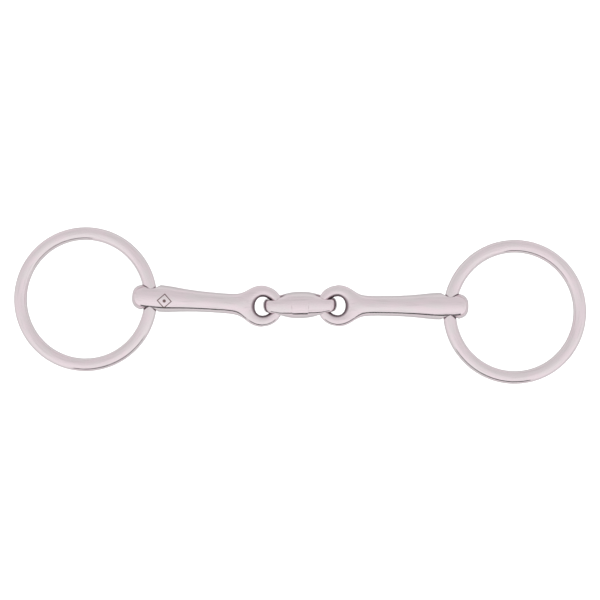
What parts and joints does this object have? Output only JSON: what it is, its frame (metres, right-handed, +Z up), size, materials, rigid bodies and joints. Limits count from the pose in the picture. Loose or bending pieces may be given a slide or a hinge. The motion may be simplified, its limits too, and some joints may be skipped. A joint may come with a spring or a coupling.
{
  "type": "snaffle bit",
  "caption": "Loose-ring snaffle bit with a double-jointed mouthpiece: smooth arms linked by a rounded lozenge, each arm threaded on a free round ring.",
  "frame": {"origin": "centre of the lozenge link", "axes": "+X along the lozenge link towards the right ring, +Y across the mouthpiece in the plane of the flat bit, +Z up from the surface it lies on"},
  "size_m": [0.2664, 0.0762, 0.0128],
  "materials": {
    "steel": "polished"
  },
  "bodies": {
    "lozenge_link": {"lozenge_link": "steel"},
    "left_cannon": {"left_cannon": "steel"},
    "right_cannon": {"right_cannon": "steel"},
    "left_ring": {"left_ring": "steel"},
    "right_ring": {"right_ring": "steel"}
  },
  "joints": [
    {"name": "left_cannon_fold", "type": "hinge", "parent": "lozenge_link", "child": "left_cannon", "pos_m": [-0.0174, -0.0003, 0], "axis": [0, 0, -1], "range_deg": [-55.3, 44.7]},
    {"name": "right_cannon_fold", "type": "hinge", "parent": "lozenge_link", "child": "right_cannon", "pos_m": [0.0174, -0.00065, 0], "axis": [0, 0, 1], "range_deg": [-48.8, 51.2]},
    {"name": "left_ring_swing", "type": "hinge", "parent": "left_cannon", "child": "left_ring", "pos_m": [-0.06928, 0.00451, 0], "axis": [0.0924, 0.9957, 0], "range_deg": [-140, 140]},
    {"name": "right_ring_swing", "type": "hinge", "parent": "right_cannon", "child": "right_ring", "pos_m": [0.06949, -0.00174, 0], "axis": [-0.0209, -0.9998, 0], "range_deg": [-140, 140]}
  ]
}
